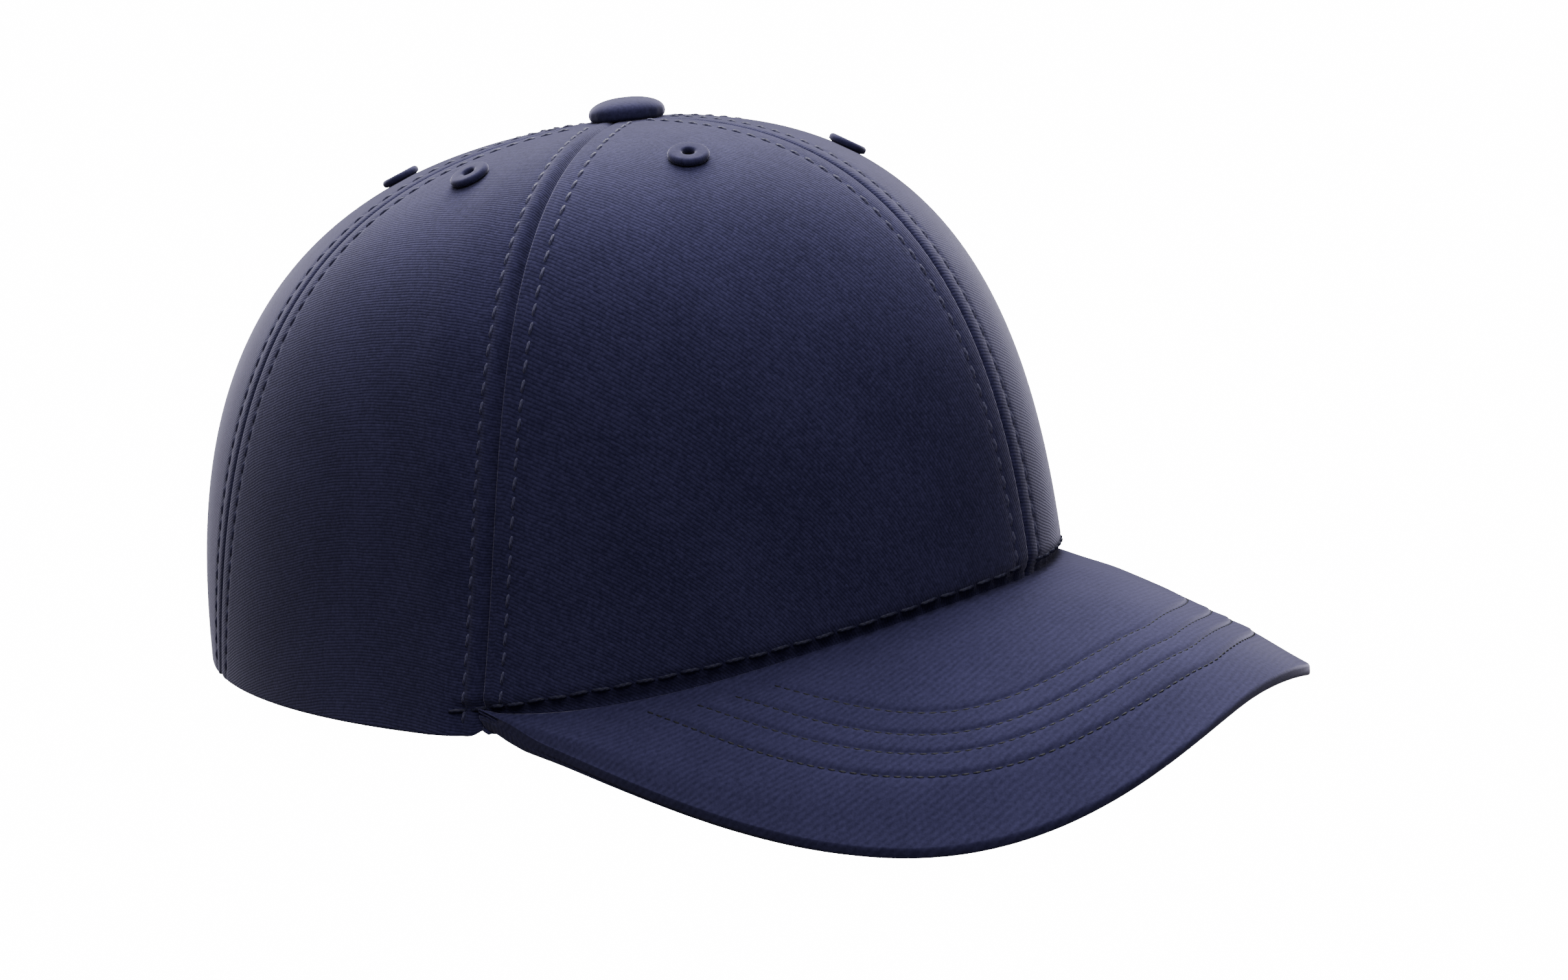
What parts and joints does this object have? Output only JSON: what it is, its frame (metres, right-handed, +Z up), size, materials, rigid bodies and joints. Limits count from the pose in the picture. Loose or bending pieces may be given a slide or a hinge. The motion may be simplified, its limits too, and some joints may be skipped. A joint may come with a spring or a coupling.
{
  "type": "bump cap",
  "caption": "Peaked bump cap: six-panel navy twill cap with a curved stitched brim, rear arch with a hook-and-loop strap, and a removable padded impact shell inside.",
  "frame": {"origin": "centre of the bounding box in plan, on the surface that the cap stands on", "axes": "+Z up, front of the cap and its brim towards -Y, wearer's right towards -X; the cap leans back 5.5 degrees because it stands on the back of its hem and the two corners of its brim"},
  "size_m": [0.1758, 0.2686, 0.1341],
  "materials": {
    "crown_twill": "navy cotton twill with a fine diagonal rib and a soft sheen",
    "brim_twill": "navy cotton twill, lightly fleeced, with four sewn rows",
    "button_cloth": "navy cloth stretched over a domed button",
    "eyelet_thread": "navy satin-stitched rings",
    "interlining": "stiff open-weave buckram",
    "seam_tape": "woven tape",
    "binding_tape": "ribbed binding tape",
    "sweatband_cloth": "padded cotton sweatband",
    "strap_webbing": "twill strap with sewn edges",
    "loop_pile": "soft loop pile",
    "hook_tape": "moulded hook tape",
    "brim_board": "flexible polyethylene sheet",
    "abs_shell": "moulded ABS, satin",
    "foam": "closed-cell foam faced with brushed knit",
    "rivet_metal": "plated steel"
  },
  "bodies": {
    "cap": {"front_panel_right": "crown_twill", "front_panel_left": "crown_twill", "side_panel_right": "crown_twill", "side_panel_left": "crown_twill", "rear_panel_right": "crown_twill", "rear_panel_left": "crown_twill", "front_buckram": "interlining", "top_button": "button_cloth", "button_rivet": "rivet_metal", "eyelets": "eyelet_thread", "seam_tapes": "seam_tape", "brim_top_cover": "brim_twill", "brim_board": "brim_board", "brim_under_cover": "brim_twill", "sweatband": "sweatband_cloth", "arch_binding": "binding_tape", "strap_anchor": "strap_webbing", "closure_strap_loop": "strap_webbing", "loop_patch": "loop_pile", "shell_loop_patches": "loop_pile"},
    "insert": {"bump_shell": "abs_shell", "crown_pad": "foam", "front_pad": "foam", "rear_pad": "foam", "side_pads": "foam", "shell_hook_patches": "hook_tape"},
    "closure_tab": {"closure_strap_hook": "strap_webbing", "hook_patch": "hook_tape"}
  },
  "joints": [
    {"name": "insert_pull_out", "type": "slide", "parent": "cap", "child": "insert", "axis": [0, -0.0958, -0.9954], "range_m": [0, 0.13]},
    {"name": "strap_peel", "type": "hinge", "parent": "cap", "child": "closure_tab", "pos_m": [-0.03597, 0.12469, 0.01237], "axis": [0, 0.0958, 0.9954], "range_deg": [0, 80]}
  ]
}
